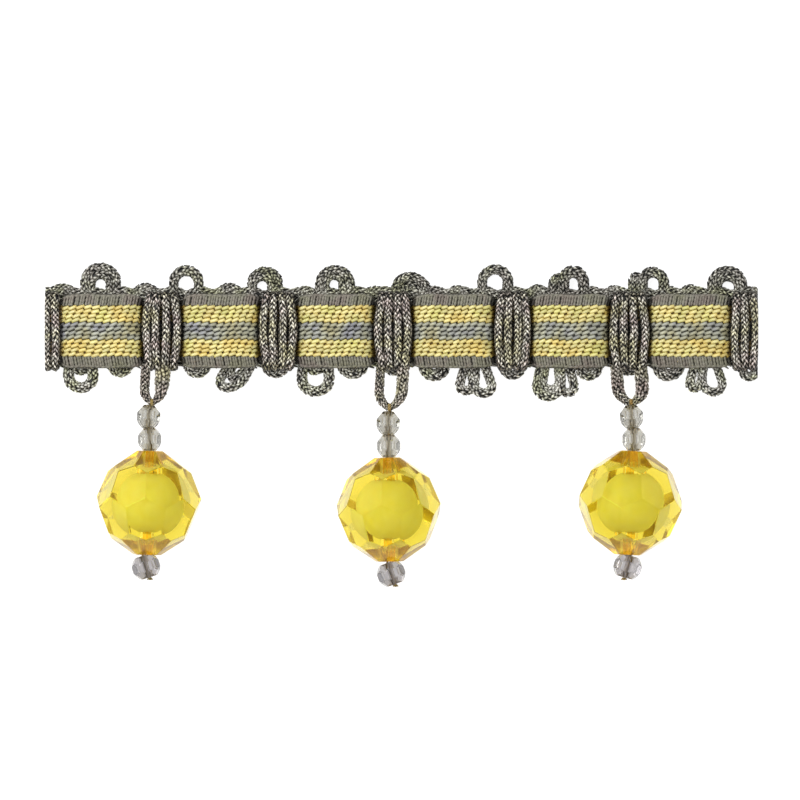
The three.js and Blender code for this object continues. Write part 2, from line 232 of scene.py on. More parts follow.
class Finish:
    """The nodes of a material or of the studio's sky, and the ways to add to them."""

    def __init__(self, owner):
        self.owner = owner
        owner.use_nodes = True
        self.tree = owner.node_tree
        self.tree.nodes.clear()

    def node(self, kind, settings=None, sockets=None, out=0):
        """Makes a node, sets it, fills or joins its sockets and gives the wire at one of its ends."""
        made = self.tree.nodes.new(kind)
        for name, value in (settings or {}).items():
            if name == "stops":
                self.stop_colours(made.color_ramp, value)
            else:
                setattr(made, name, value)
        for key, value in (sockets or {}).items():
            if isinstance(value, Wire):
                self.tree.links.new(value.socket, made.inputs[key])
            else:
                made.inputs[key].default_value = value
        return Wire(self, made.outputs[out]) if made.outputs else made

    def stop_colours(self, ramp, stops):
        for element, (place, colour) in itertools.zip_longest(ramp.elements[:], stops):
            element = element or ramp.elements.new(place)
            element.position, element.color = place, colour

    def mark(self, name):
        """A number that the mesh carries at each of its points."""
        return self.node("ShaderNodeAttribute", {"attribute_name": name}, out="Fac")

    def place(self):
        return self.node("ShaderNodeTexCoord", out="Object")

    def noise(self, size, detail=3, stretch=(1, 1, 1)):
        """Soft random change over the surface, with patches about as wide as size in millimetres."""
        scaled = self.node("ShaderNodeVectorMath", {"operation": "MULTIPLY"}, {0: self.place(), 1: stretch})
        sockets = {"Vector": scaled, "Scale": 1 / (size * MM), "Detail": detail}
        return self.node("ShaderNodeTexNoise", {}, sockets)

    def mix(self, share, first, second, way="MIX"):
        """A colour between two, or laid over the first in another way."""
        settings = {"data_type": "RGBA", "blend_type": way}
        sockets = {MIX_ENDS["share"]: share, MIX_ENDS["first"]: first, MIX_ENDS["second"]: second}
        return self.node("ShaderNodeMix", settings, sockets, out=MIX_ENDS["mixed"])

    def ramp(self, share, *stops):
        return self.node("ShaderNodeValToRGB", {"stops": stops}, {0: share})

    def bump(self, height, depth):
        """A fine relief, depth millimetres deep."""
        return self.node("ShaderNodeBump", {}, {"Height": height, "Strength": 1.0, "Distance": depth * MM})

    def shader(self, **sockets):
        """A surface shader, with underscores for the spaces in its socket names."""
        named = {key.replace("_", " ").title().replace("Ior", "IOR"): value for key, value in sockets.items()}
        return self.node("ShaderNodeBsdfPrincipled", {}, named)

    def finished(self, shader, volume=None):
        inside = {"Volume": volume} if volume else {}
        self.node("ShaderNodeOutputMaterial", {}, {"Surface": shader} | inside)
        return self.owner

    def surface(self, **sockets):
        return self.finished(self.shader(**sockets))


YARN = {
    "shade_steps": (0.0, 0.45, 0.75, 1.0),
    "patch": 4.0,
    "patch_steps": (0.36, 0.5, 0.64),
    "crest_gloss": 0.1,
    "shine": 0.5,
    "fibre": 0.16,
    "fibre_detail": 4,
    "fuzz": 0.05,
}
GROUND_WEAVE = {"yarn": 0.35, "detail": 2, "stretch": (0.4, 1, 1), "steps": (0.3, 0.7), "relief": 0.12}
GROUND_WEAVE |= {"roughness": 0.75, "gloss": 0.1}
BEAD_PLASTIC = {"ior": 1.49, "cloud": 3.0, "cloud_roughness": 0.03, "detail": 2}
BEAD_PLASTIC |= {"streak": 0.4, "streak_stretch": (1, 0.1, 1), "least_streak": 0.5}
MILK = {"cloud": 2.5, "steps": (0.3, 0.7), "roughness": 0.4, "cloud_roughness": 0.1, "depth": 4.0}
MILK |= {"reach": (1.0, 0.9, 0.5)}


def yarn_finish(name, shades, cool, warm, change, roughness):
    """Spun yarn in painted light: painted shade where it dives between its neighbours and a painted highlight
    on its crests, with changes from stitch to stitch, cooler and warmer patches and fine fibres. shades go
    from the painted shade of the deepest place, through the yarn's own colour, to the painted highlight on its
    top."""
    finish = Finish(bpy.data.materials.new(name))
    # The painted light mark runs from painted shade, where the yarn dives between its neighbours, to a painted
    # highlight on its crests, which are also a little glossier.
    height, tint = finish.mark("crest"), finish.mark("tint")
    body = finish.ramp(height, *zip(YARN["shade_steps"], shades))
    tone = finish.ramp(finish.noise(YARN["patch"]), *zip(YARN["patch_steps"], (cool, WHITE, warm)))
    toned = finish.mix(1.0, body, tone, way="MULTIPLY")
    value = 1 - change / 2 + change * tint
    shade = finish.node("ShaderNodeHueSaturation", {}, {"Value": value, "Color": toned})
    fibres = finish.noise(YARN["fibre"], detail=YARN["fibre_detail"])
    return finish.surface(
        base_color=shade,
        roughness=roughness - YARN["crest_gloss"] * height,
        specular_ior_level=YARN["shine"],
        normal=finish.bump(fibres, YARN["fuzz"]),
    )


def ground_finish(name, gold_shades, grey_shades):
    """The ground weave under the ribbon's rows, in the same stripes, with fine crossing yarns and painted
    shade beside the bars.
    """
    finish = Finish(bpy.data.materials.new(name))
    weave = finish.noise(GROUND_WEAVE["yarn"], GROUND_WEAVE["detail"], GROUND_WEAVE["stretch"])
    gold = finish.ramp(weave, *zip(GROUND_WEAVE["steps"], gold_shades))
    grey = finish.ramp(weave, *zip(GROUND_WEAVE["steps"], grey_shades))
    striped = finish.mix(finish.mark("stripe"), grey, gold)
    return finish.surface(
        # Painted shade: the dusk mark turns the ground near black right beside each bar.
        base_color=finish.mix(finish.mark("dusk"), PAINTED_SHADE_BLACK, striped),
        roughness=GROUND_WEAVE["roughness"] - GROUND_WEAVE["gloss"] * weave,
        normal=finish.bump(weave, GROUND_WEAVE["relief"]),
    )


def bead_finish(name, body, bore, sheen, depth_colour, depth, glow, roughness, frost):
    """Clear moulded plastic that deepens along the light's way through it, in millimetres, with a sheen of its
    own shade. The ends blush in the bore's shade with fine streaks, the bore's wall and the flat ends are
    frosted, and the plastic has a faint painted glow in the bore's shade."""
    plastic = BEAD_PLASTIC
    finish = Finish(bpy.data.materials.new(name))
    cloud = finish.noise(plastic["cloud"], plastic["detail"])
    streaks = finish.noise(plastic["streak"], plastic["detail"], plastic["streak_stretch"])
    blush = finish.mark("blush") * (plastic["least_streak"] + streaks)
    sockets = {"Color": depth_colour, "Density": 1 / (depth * MM)}
    absorb = finish.node("ShaderNodeVolumeAbsorption", {}, sockets)
    clear = finish.shader(
        base_color=finish.mix(blush, body, bore),
        roughness=roughness + plastic["cloud_roughness"] * cloud + frost * finish.mark("frost"),
        transmission_weight=1.0,
        ior=plastic["ior"],
        specular_tint=sheen,
        # Painted glow: the plastic gives off a faint light in the bore's colour, though it is no lamp.
        emission_color=bore,
        emission_strength=glow,
    )
    return finish.finished(clear, absorb)


def core_finish(name, shades):
    """The milky ball inside an amber bead."""
    finish = Finish(bpy.data.materials.new(name))
    cloud = finish.noise(MILK["cloud"])
    return finish.surface(
        base_color=finish.ramp(cloud, *zip(MILK["steps"], shades)),
        roughness=MILK["roughness"] + MILK["cloud_roughness"] * cloud,
        subsurface_weight=1.0,
        subsurface_scale=MILK["depth"] * MM,
        subsurface_radius=MILK["reach"],
    )


CORD = yarn_finish(
    "taupe knitted cord",
    shades=[PAINTED_SHADE_BLACK, dye(54, 50, 44), dye(150, 143, 129), dye(255, 253, 243)],
    cool=dye(238, 226, 232),
    warm=dye(240, 239, 208),
    change=0.9,
    roughness=0.5,
)
# The same taupe cord as the bars', with painted shade on the loops: its shades are a little darker and
# greener.
LOOP_CORD_IN_PAINTED_SHADE = yarn_finish(
    "taupe knitted cord, loops in painted shade",
    shades=[PAINTED_SHADE_BLACK, dye(51, 50, 44), dye(145, 142, 130), dye(249, 251, 241)],
    cool=dye(233, 229, 233),
    warm=dye(237, 240, 212),
    change=0.9,
    roughness=0.5,
)
GOLD_ROW = yarn_finish(
    "gold twisted row",
    shades=[dye(112, 91, 40), dye(161, 140, 73), dye(199, 183, 108), dye(233, 225, 163)],
    cool=dye(242, 247, 222),
    warm=dye(252, 238, 208),
    change=0.3,
    roughness=0.42,
)
GREY_ROW = yarn_finish(
    "grey twisted row",
    shades=[dye(50, 50, 44), dye(92, 92, 80), dye(130, 130, 114), dye(182, 183, 164)],
    cool=dye(214, 214, 246),
    warm=dye(250, 240, 210),
    change=0.45,
    roughness=0.45,
)
SELVEDGE = yarn_finish(
    "grey ribbed selvedge",
    shades=[dye(58, 55, 49), dye(80, 77, 68), dye(104, 101, 90), dye(136, 133, 118)],
    cool=dye(240, 228, 234),
    warm=dye(242, 244, 228),
    change=0.22,
    roughness=0.6,
)
THREAD = yarn_finish(
    "golden brown thread",
    shades=[dye(50, 40, 18), dye(110, 92, 50), dye(152, 134, 80), dye(202, 186, 126)],
    cool=dye(240, 230, 200),
    warm=dye(250, 226, 190),
    change=0.3,
    roughness=0.5,
)
GROUND = ground_finish(
    "striped ground weave",
    gold_shades=(dye(84, 62, 21), dye(147, 117, 49)),
    grey_shades=(dye(52, 50, 45), dye(96, 93, 84)),
)
AMBER = bead_finish(
    "transparent amber",
    body=(0.94, 0.9, 0.4, 1),
    bore=(1.0, 0.54, 0.02, 1),
    sheen=(1.0, 0.75, 0.2, 1),
    depth_colour=(0.92, 0.86, 0.12, 1),
    depth=7.2,
    glow=0.03,
    roughness=0.08,
    frost=0.12,
)
CLEAR = bead_finish(
    "transparent clear",
    body=(0.5, 0.49, 0.45, 1),
    bore=(0.75, 0.66, 0.48, 1),
    sheen=WHITE,
    depth_colour=(0.5, 0.5, 0.5, 1),
    depth=20.0,
    glow=0.0,
    roughness=0.07,
    frost=0.3,
)
SMOKY = bead_finish(
    "transparent lilac grey",
    body=(0.43, 0.41, 0.42, 1),
    bore=(0.6, 0.52, 0.42, 1),
    sheen=WHITE,
    depth_colour=(0.5, 0.5, 0.5, 1),
    depth=20.0,
    glow=0.0,
    roughness=0.1,
    frost=0.3,
)
CORE = core_finish("milky core", (dye(251, 244, 172), dye(253, 248, 194)))


# Meshes: many small closed shapes gathered into one joined piece.


class Heap:
    """Points, four-cornered faces and marks gathered for one joined mesh."""

    def __init__(self):
        self.points, self.faces, self.marks, self.total = [], [], [], 0

    def add(self, points, faces, **marks):
        points = points.reshape(-1, 3)
        self.points.append(points)
        self.faces.append(faces.reshape(-1, 4) + self.total)
        self.marks.append({name: np.broadcast_to(value, len(points)) for name, value in marks.items()})
        self.total += len(points)

    def piece(self, name, material, slot, *nodes):
        """The joined mesh as a smooth piece that stands for its CAD nodes, cut off at the trim's ends."""
        points = np.concatenate(self.points)
        points[:, 0] = np.clip(points[:, 0], -TRIM_HALF, TRIM_HALF)
        points[:, 2] = np.maximum(points[:, 2], 0)
        marks = {mark: np.concatenate([m[mark] for m in self.marks]) for mark in self.marks[0]}
        faces = np.concatenate(self.faces).tolist()
        return piece(name, points, faces, marks, material, slot, nodes, smooth=True)


def piece(name, points, faces, marks, material, slot, nodes, smooth):
    """A mesh as an object that rides on the trim's body."""
    mesh = bpy.data.meshes.new(name)
    mesh.from_pydata(((points + (0, HEADING_Y, 0)) * MM).tolist(), [], faces)
    mesh.polygons.foreach_set("use_smooth", [smooth] * len(mesh.polygons))
    for mark, values in marks.items():
        mesh.attributes.new(mark, "FLOAT", "POINT").data.foreach_set("value", values.astype(np.float32))
    mesh.materials.append(material)
    mesh.update()
    made = bpy.data.objects.new(name, mesh)
    bpy.context.scene.collection.objects.link(made)
    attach(made, "root")
    if nodes:
        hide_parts(*nodes)
    return made


def unit(vectors):
    """The same ways, each of length 1."""
    return vectors / np.linalg.norm(vectors, axis=-1, keepdims=True)


def spindle(far=0.85, narrow=0.45):
    """A six-sided stitch along X: 1 wide in the middle and narrow at its ends, which are far out."""
    sides = 6
    angles = 2 * np.pi * np.arange(sides) / sides
    ring = np.column_stack([np.cos(angles), np.sin(angles)])
    levels = ((-far, narrow), (0, 1), (far, narrow))
    points = np.vstack([np.column_stack([np.full(sides, x), width * ring]) for x, width in levels])
    here = np.arange(2 * sides)
    beside = here // sides * sides + (here + 1) % sides
    walls = np.column_stack([here, beside, beside + sides, here + sides])
    lid = np.array([[0, 1, 2, 3], [0, 3, 4, 5]])
    return points, np.vstack([walls, lid[:, ::-1], lid + 2 * sides])


STITCH_POINTS, STITCH_FACES = spindle()
LEAST_PLACES = 6


def smooth_line(points, parts=10):
    """A smooth line through points, with the same number of parts from each to the next."""
    points = np.asarray(points, float)
    padded = np.vstack([2 * points[0] - points[1], points, 2 * points[-1] - points[-2]])
    t = np.linspace(0, 1, parts, endpoint=False)[:, None]
    line = []
    for a, b, c, d in zip(padded, padded[1:], padded[2:], padded[3:]):
        bend, sway = 2 * a - 5 * b + 4 * c - d, 3 * (b - c) + d - a
        line.append(b + t * (c - a) / 2 + t**2 * bend / 2 + t**3 * sway / 2)
    return np.vstack([*line, points[-1:]])


def even_walk(line, step):
    """Evenly spaced places on a line: how far along, the place, the way on and two ways out."""
    run = np.concatenate([[0], np.cumsum(np.linalg.norm(np.diff(line, axis=0), axis=1))])
    far = np.linspace(0, run[-1], max(LEAST_PLACES, round(run[-1] / step) + 1))
    places = np.column_stack([np.interp(far, run, line[:, k]) for k in range(3)])
    ways = unit(np.gradient(places, axis=0))
    least = np.eye(3)[np.argmin(np.abs(ways[0]))]
    outs = [least]
    for way in ways:
        out = outs[-1] - way * (outs[-1] @ way)
        outs.append(out / np.linalg.norm(out))
    outs = np.array(outs[1:])
    return far, places, ways, outs, np.cross(ways, outs)


def tube(line_walk, radius, sides):
    """The points and faces of a closed tube along an even walk, of one radius or one for each place."""
    _, places, _, outs, across = line_walk
    angles = 2 * np.pi * np.arange(sides) / sides
    radius = np.broadcast_to(radius, len(places))[:, None, None]
    rings = np.cos(angles)[:, None] * outs[:, None] + np.sin(angles)[:, None] * across[:, None]
    points = places[:, None] + radius * rings
    here = np.arange(len(places) - 1)[:, None] * sides
    side, following = np.arange(sides), (np.arange(sides) + 1) % sides
    walls = np.stack([here + side, here + following, here + sides + following, here + sides + side], -1)
    lid = np.array([[k, sides - 1 - k, sides - 2 - k, k + 1] for k in range(sides // 2 - 1)])
    last = (len(places) - 1) * sides
    return points, np.concatenate([walls.reshape(-1, 4), lid, lid[:, ::-1] + last])


# Knitted cord: columns of slanting stitches round an inside in painted shade.

KNIT = {
    "columns": 5,
    "stitch": 0.86,
    "slant": math.radians(25),
    "tuck": math.radians(13),
    "long": 0.56,
    "wide": 0.23,
    "thick": 0.22,
    "inside": 0.66,
    "open": 0.3,
    "walk": 0.2,
    "least_courses": 3,
    "inner_walk": 0.5,
    "inner_sides": 6,
    "inner_tint": 0.3,
}
UNEVEN = {"row": 0.08, "turn": 0.07, "slant": 0.16, "size": 0.13, "long": 0.12, "spin": 0.2}
DROP_LEGS = {"straight": 0.55, "bend": 2.5}
# Painted light on each kind of cord: how light the stitches' crests are painted, and the share of that their
# sides keep; lower numbers paint more shade.
CORD_LIGHT = {"top": 0.92, "bottom": 1.0, "drop": 0.93}
CORD_FLANK = {"top": 0.48, "bottom": 1.0, "bar": 0.28}


def knit_cord(heap, line, radius, stitch=KNIT["stitch"], flat=1.0, flank=1.0, light=1.0):
    """Knits one cord along a line, with radius a number or one for each share of the way. flat squeezes it in
    Z, light is the painted light on its crests and flank the share of that painted on its sides. A thicker
    cord has more columns of stitches."""
    walk = even_walk(line, KNIT["walk"])
    far, places, ways, outs, across = walk
    length = far[-1]
    courses = max(KNIT["least_courses"], round(length / stitch))
    columns = max(KNIT["columns"], round(KNIT["columns"] * np.mean(radius) / CORD_RADIUS))
    rows = (np.arange(courses) + 0.5) * length / courses
    row, column, leg = (a.ravel() for a in np.meshgrid(rows, np.arange(columns), (-1, 1), indexing="ij"))
    row = row + leg * stitch / 4 + chance.normal(0, UNEVEN["row"], row.shape)
    i = np.clip(np.rint(np.interp(row, far, np.arange(len(far)))).astype(int), 0, len(far) - 1)
    radius = np.interp(far / length, np.linspace(0, 1, np.size(radius)), np.atleast_1d(radius))
    scale = radius[i] / CORD_RADIUS
    turn = chance.uniform(0, 2 * np.pi) + chance.uniform(-UNEVEN["spin"], UNEVEN["spin"]) * row
    angle = turn + 2 * np.pi * (column + leg / 4) / columns + chance.normal(0, UNEVEN["turn"], row.shape)
    cosine, sine = np.cos(angle)[:, None], np.sin(angle)[:, None]
    out = cosine * outs[i] + sine * across[i]
    sideways = cosine * across[i] - sine * outs[i]
    slant = leg * KNIT["slant"] + chance.normal(0, UNEVEN["slant"], row.shape)
    along = np.cos(slant)[:, None] * ways[i] + np.sin(slant)[:, None] * sideways
    along = math.cos(KNIT["tuck"]) * along + math.sin(KNIT["tuck"]) * out
    wide = unit(np.cross(out, along))
    thick = np.cross(along, wide)
    size = scale * chance.normal(1, UNEVEN["size"], row.shape)
    reach = chance.normal(1, UNEVEN["long"], row.shape) * KNIT["long"] * stitch / KNIT["stitch"]
    breadth = size * KNIT["wide"] * KNIT["columns"] / columns
    depth = size * KNIT["thick"]
    axes = np.stack([along * reach[:, None], wide * breadth[:, None], thick * depth[:, None]], 1)
    middle = places[i] + out * (scale * (CORD_RADIUS - KNIT["thick"]))[:, None]
    points = middle[:, None] + np.einsum("pk,nkj->npj", STITCH_POINTS, axes)
    faces = STITCH_FACES[None] + (len(STITCH_POINTS) * np.arange(len(row)))[:, None, None]
    # Painted light: each stitch is lighter towards its outer side, and stitches that face sideways or down get
    # painted shade by the flank's share.
    facing = np.clip(KNIT["open"] + out[:, 2], 0, 1)
    lit = light * (flank + (1 - flank) * facing)
    crest = np.outer(lit, (STITCH_POINTS[:, 2] + 1) / 2).ravel()
    tint = np.repeat(chance.uniform(0, 1, len(row)), len(STITCH_POINTS))
    inner_walk = even_walk(line, KNIT["inner_walk"])
    inner_radius = np.interp(inner_walk[0], far, radius) * KNIT["inside"]
    inner, inner_faces = tube(inner_walk, inner_radius, KNIT["inner_sides"])
    level = places[:, 2].mean()
    for cloud in (points, inner):
        cloud[..., 2] = level + (cloud[..., 2] - level) * flat
    heap.add(points, faces, crest=crest, tint=tint)
    # The inside tube is painted in the deepest shade of the cord's colours: painted shade between the
    # stitches.
    heap.add(inner, inner_faces, crest=0.0, tint=KNIT["inner_tint"])


def strand_line(bar, offset):
    """A strand of a bar: over the ribbon from edge to edge, and down round both onto the cord courses."""
    edge, face = RIBBON["waist"], RIBBON["low"] + RIBBON["thickness"]
    end, corner = edge + BAR["wrap"], BAR["wrap"] * math.sqrt(0.5)
    half = [
        (end, BAR["foot"]),
        (end, RIBBON["low"]),
        (end, face),
        (edge + corner, face + corner),
        (edge, face + BAR["wrap"]),
        (edge / 2, face + BAR["wrap"] + BAR["crown"] * BAR["shoulder"]),
    ]
    middle = [(0, face + BAR["wrap"] + BAR["crown"])]
    points = []
    for y, z in [*half, *middle, *[(-y, z) for y, z in reversed(half)]]:
        spread = BAR["pinch"] + (1 - BAR["pinch"]) * math.cos(math.pi / 2 * y / end)
        points.append((bar["x"] + offset * spread + chance.normal(0, BAR["wobble"]), y, z))
    return smooth_line(points)


def loop_plan(row, parts=60):
    """A loop in plan: the places along the trim, the way out from the root and that way's share."""
    half, reach = row["span"] / 2, row["reach"]
    tip = min(half, reach)
    leg = reach - tip
    turn = math.pi * (half + tip) / 2
    whole = 2 * leg + turn
    run = np.linspace(0, whole, parts)
    angle = math.pi * np.clip(run - leg, 0, turn) / turn
    up = np.minimum(np.minimum(run, leg), whole - run) + tip * np.sin(angle)
    out = up / reach
    spread = half * (1 - row["draw"] * (1 - out) ** 2)
    return row["x"] + row["lean"] * out - spread * np.cos(angle), up, out


def edge_loop_line(side, row):
    """A loop that stands out from an edge of the ribbon and lifts towards its tip."""
    along, up, out = loop_plan(row)
    return np.column_stack([along, side * (COURSE["y"] + up), np.max(row["radius"]) + row["lift"] * out**3])


def drop_loop_line(row, parts=61):
    """Two legs that leave the bar's lower end, rise side by side and close to a point at the thread."""
    side = np.linspace(-1, 1, parts)
    out = 1 - np.abs(side)
    closing = np.clip((out - DROP_LEGS["straight"]) / (1 - DROP_LEGS["straight"]), 0, 1)
    spread = np.sign(side) * row["span"] / 2 * (1 - closing ** DROP_LEGS["bend"])
    root = RIBBON["waist"] + BAR["wrap"]
    low = RIBBON["low"] + CORD_RADIUS
    along = row["x"] + row["lean"] * out + spread
    return np.column_stack([along, -root - row["reach"] * out, low + (row["top"] - low) * out])


def course_line(side):
    """The cord course that lies hidden under an edge of the ribbon."""
    return np.array([(end, side * COURSE["y"], COURSE["height"] / 2) for end in (-TRIM_HALF, TRIM_HALF)])


def shown_course_line():
    """The cord course that shows above the ribbon, a little wavy and dipping behind it at each tall loop."""
    along = np.linspace(-TRIM_HALF, TRIM_HALF, SHOWN_COURSE["points"])
    wave = SHOWN_COURSE["wave"] * np.sin(2 * np.pi * along / SHOWN_COURSE["wave_run"])
    from_loop = (along[:, None] - [row["x"] for row in TOP_LOOPS]) / SHOWN_COURSE["dip_half"]
    dip = SHOWN_COURSE["dip"] * np.exp(-(from_loop**2)).max(1)
    height = np.full_like(along, SHOWN_COURSE["radius"])
    return np.column_stack([along, SHOWN_COURSE["y"] + wave - dip, height])


def knitted_bar(number, bar):
    """A bar's strands, and the long loop of a drop where the bar carries one."""
    heap = Heap()
    for offset in bar["strands"]:
        knit_cord(heap, strand_line(bar, offset), BAR["cord"], flank=CORD_FLANK["bar"])
    for drop in DROPS:
        if drop["bar"] == number:
            knit_cord(heap, drop_loop_line(drop["loop"]), drop["thick"], light=CORD_LIGHT["drop"])
    return heap.piece(f"knitted_bar_{number}", CORD, "cord", f"bar_{number}")


def knitted_edge(edge, rows):
    """The cord courses at an edge of the ribbon, with the loops and bumps that stand out of them."""
    side, light, flank = SIDES[edge], CORD_LIGHT[edge], CORD_FLANK[edge]
    heap = Heap()
    squeeze = COURSE["height"] / 2 / COURSE["half_width"]
    knit_cord(heap, course_line(side), COURSE["half_width"], COURSE["stitch"], flat=squeeze)
    if edge == "top":
        knit_cord(heap, shown_course_line(), SHOWN_COURSE["radius"], SHOWN_COURSE["stitch"], light=light)
    for row in rows:
        knit_cord(heap, edge_loop_line(side, row), row["radius"], flank=flank, light=light)
    return heap.piece(f"knitted_loops_{edge}", LOOP_CORD_IN_PAINTED_SHADE, "cord", f"loops_{edge}")


# The ribbon: a ground sheet, twisted rows in three stripes and ribbed selvedges.

STRIPES = {"rows": 12, "half": 4.635, "gold": (0, 1, 2, 3, 8, 9, 10, 11), "grey": (4, 5, 6, 7)}
ROW_PITCH = 2 * STRIPES["half"] / STRIPES["rows"]
ROW = {"length": 1.3, "thick": 0.38, "thin": 0.94, "dip": 0.03, "slant": 0.42, "sides": 8, "step": 0.14}
EDGE_ROW = {"length": 0.9, "thick": 0.3, "thin": 0.6, "dip": 0.1, "slant": 0.1, "sides": 6, "step": 0.15}
EDGE_ROW |= {"y": 6.36, "lead": 1}
FLOATS = {"lead": 0.16, "stray": 0.16, "drift": 0.2, "drift_run": 3.1, "sway": 0.1, "sway_run": 1.2}
FLOATS |= {"end_light": 0.72}
SUNK = 0.1
RIB = {"pitch": 0.5, "radius": 0.32, "from": 0.68, "to": 0.925, "slant": 0.16, "lump": 0.75, "dent": 0.3}
RIB |= {"points": 6, "parts": 3, "step": 0.2, "sides": 6, "edge_light": 0.4}
RIB_TURN = [(0.03, 0.14, -0.2), (0.05, 0.12, -0.5)]
RIB_STRAY = {"place": 0.03, "slant": 0.05, "size": 0.06}
# Painted shade beside the bars: from and full are millimetres beyond a bar's side, and least is the painted
# light left right beside it.
DUSK = {"from": 0.2, "full": 0.7, "least": 0.03}
SHEET = {"thickness": 0.4, "step": 0.4, "across": 26, "fine": 0.02}


def from_bar(x, start, full):
    """0 up to start beyond the nearest bar's side and 1 from full beyond it, in millimetres."""
    x = np.asarray(x)[..., None]
    away = np.maximum(BAR_LEFT - x, x - BAR_RIGHT).min(-1)
    return np.clip((away - start) / (full - start), 0, 1)


def eased(share):
    """A share that starts and ends gently."""
    return share**2 * (3 - 2 * share)


def rounded(share):
    """A share that rises as a quarter circle does."""
    return np.sqrt(1 - (1 - share) ** 2)


def ribbon_fullness(x):
    """0 under a bar, where the ribbon is narrow and thin, and 1 between the bars."""
    return eased(from_bar(x, RIBBON["dive"], RIBBON["full"]))


def ribbon_place(x, across):
    """Y and the underside's Z at a place on the ribbon, with across from -1 to 1."""
    arch = rounded(from_bar(x, RIBBON["dive"], RIBBON["shoulder"]))
    inner = STRIPES["half"] / RIBBON["half"]
    corner = rounded(from_bar(x, RIBBON["dive"], RIBBON["corner"]))
    edge = RIBBON["waist"] + (RIBBON["half"] - RIBBON["waist"]) * corner
    beyond = np.clip((np.abs(across) - inner) / (1 - inner), 0, 1)
    out = np.minimum(np.abs(across), inner) * RIBBON["half"] + beyond * (edge - STRIPES["half"])
    return np.sign(across) * out, RIBBON["low"] + arch * (RIBBON["rise"] - RIBBON["edge_drop"] * across**4)


def ribbon_stations(step):
    """Places along the trim, evenly apart on the ribbon's own bent length, and how far along each is."""
    x = np.linspace(-TRIM_HALF, TRIM_HALF, round(2 * TRIM_HALF / SHEET["fine"]))
    _, low = ribbon_place(x, np.zeros_like(x))
    run = np.concatenate([[0], np.cumsum(np.hypot(np.diff(x), np.diff(low)))])
    far = np.linspace(0, run[-1], round(run[-1] / step))
    return np.interp(far, run, x), far


def yarn_top(x, across):
    """The top of the yarns on the ribbon: full height between the bars, sunk into the ground under them."""
    _, low = ribbon_place(x, across)
    depth = RIBBON["thickness"] - SHEET["thickness"] - SUNK
    return low + SHEET["thickness"] + SUNK + depth * ribbon_fullness(x)


def daylight(x):
    """The share of painted light on the ribbon: little right beside a bar, where painted shade darkens the
    gap.
    """
    return DUSK["least"] + (1 - DUSK["least"]) * eased(from_bar(x, DUSK["from"], DUSK["full"]))


def ground_sheet():
    """The ribbon's ground weave, one thin closed sheet under the rows."""
    x, far = ribbon_stations(SHEET["step"])
    across = np.linspace(-1, 1, SHEET["across"])
    grid_x, grid_across = np.meshgrid(x, across, indexing="ij")
    y, low = ribbon_place(grid_x, grid_across)
    layers = np.stack([np.stack([grid_x, y, z], -1) for z in (low + SHEET["thickness"], low)])
    index = np.arange(2 * grid_x.size).reshape(2, *grid_x.shape)

    def quads(a, b, c, d):
        return np.stack([a, b, c, d], -1).reshape(-1, 4)

    up, down = index
    faces = [
        quads(up[:-1, :-1], up[1:, :-1], up[1:, 1:], up[:-1, 1:]),
        quads(down[:-1, :-1], down[:-1, 1:], down[1:, 1:], down[1:, :-1]),
        quads(up[:-1, 0], down[:-1, 0], down[1:, 0], up[1:, 0]),
        quads(up[:-1, -1], up[1:, -1], down[1:, -1], down[:-1, -1]),
        quads(up[0, :-1], up[0, 1:], down[0, 1:], down[0, :-1]),
        quads(up[-1, :-1], down[-1, :-1], down[-1, 1:], up[-1, 1:]),
    ]
    row = np.floor((STRIPES["half"] - y) / ROW_PITCH)
    gold = np.isin(row, STRIPES["gold"]).astype(float)
    heap = Heap()
    # Painted shade beside the bars, carried on the ground in the dusk mark.
    dusk = np.tile(daylight(grid_x).ravel(), 2)
    heap.add(layers, np.concatenate(faces), stripe=np.tile(gold.ravel(), 2), dusk=dusk)
    return heap.piece("ribbon_ground", GROUND, "ribbon", "ribbon"), far[-1]


def float_row(heap, y, row, lead):
    """A row of plump yarn floats along the ribbon. Each leans a little across it and is thin and sunk at both
    ends, and the row dives with the ribbon under the bars."""
    x, far = ribbon_stations(row["step"])
    across = np.full_like(x, y / RIBBON["half"])
    place, _ = ribbon_place(x, across)
    middle = np.column_stack([x, place, yarn_top(x, across) - row["thick"]])
    ways = unit(np.gradient(middle, axis=0))
    outs = unit(np.cross(ways, (0, 1, 0)))
    asides = np.cross(ways, outs)
    count = far / row["length"] + lead + FLOATS["drift"] * np.sin(far / FLOATS["drift_run"])
    share, number = count % 1, np.floor(count).astype(int)
    plump = np.sqrt(np.sin(np.pi * share))
    sway = row["slant"] * (share - 0.5) + FLOATS["sway"] * np.sin(far / FLOATS["sway_run"] + lead)
    places = middle - sway[:, None] * asides - (row["dip"] * (1 - plump))[:, None] * outs
    radius = row["thick"] * (row["thin"] + (1 - row["thin"]) * plump)
    points, faces = tube((far, places, ways, outs, asides), radius, row["sides"])
    height = np.einsum("nsk,nk->ns", points - places[:, None], outs) / radius[:, None]
    # Painted light: each float is lighter on its top than on its underside, in painted shade at its thin sunk
    # ends, and in painted shade right beside the bars.
    ends = FLOATS["end_light"] + (1 - FLOATS["end_light"]) * plump
    crest = (0.5 + 0.5 * height) * (ends * daylight(x))[:, None]
    tint = chance.uniform(0, 1, number.max() + 1)[number]
    heap.add(points, faces, crest=crest.ravel(), tint=np.repeat(tint, row["sides"]))


def float_rows(name, material, numbers):
    """The rows of one colour, with floats that shift a little from row to row."""
    heap = Heap()
    for number in numbers:
        lead = 1 + FLOATS["lead"] * number + chance.normal(0, FLOATS["stray"])
        float_row(heap, STRIPES["half"] - (number + 0.5) * ROW_PITCH, ROW, lead)
    return heap.piece(name, material, "ribbon")


